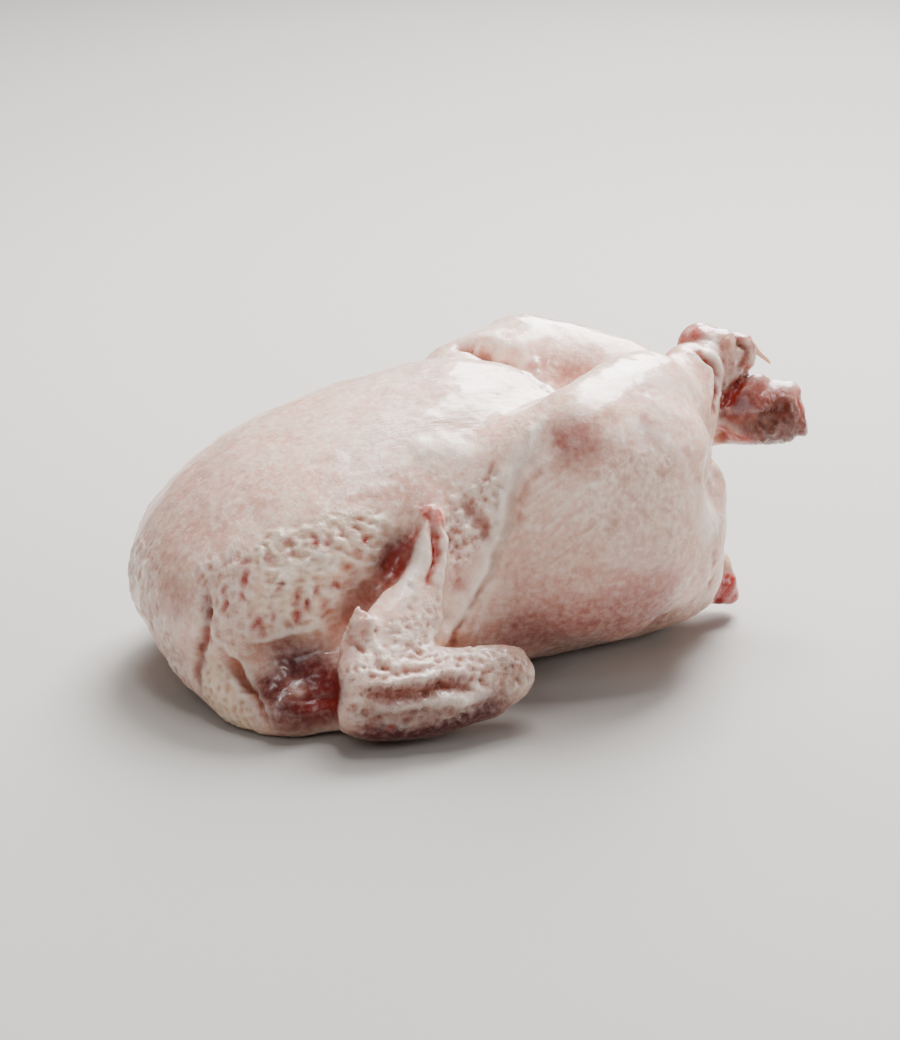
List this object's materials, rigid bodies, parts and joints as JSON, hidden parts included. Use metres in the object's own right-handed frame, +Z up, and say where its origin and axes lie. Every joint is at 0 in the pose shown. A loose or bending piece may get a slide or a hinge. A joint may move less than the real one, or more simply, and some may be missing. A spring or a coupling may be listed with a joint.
{
  "type": "whole chicken",
  "caption": "Dressed raw whole bird lying on its back: broad breast, plump thighs, crossed drumsticks with bare hock ends, folded wings with raised tips, tucked neck skin and a stub tail.",
  "frame": {"origin": "On the surface that it lies on, under the middle of its back, where the pressed-flat skin rests.", "axes": "+X runs from the neck end to the tail and hocks, +Y to the bird's left side, +Z up, out of the breast."},
  "size_m": [0.2595, 0.198, 0.1166],
  "materials": {
    "raw_skin": null
  },
  "bodies": {
    "root": {"whole_chicken": "raw_skin"}
  },
  "joints": []
}
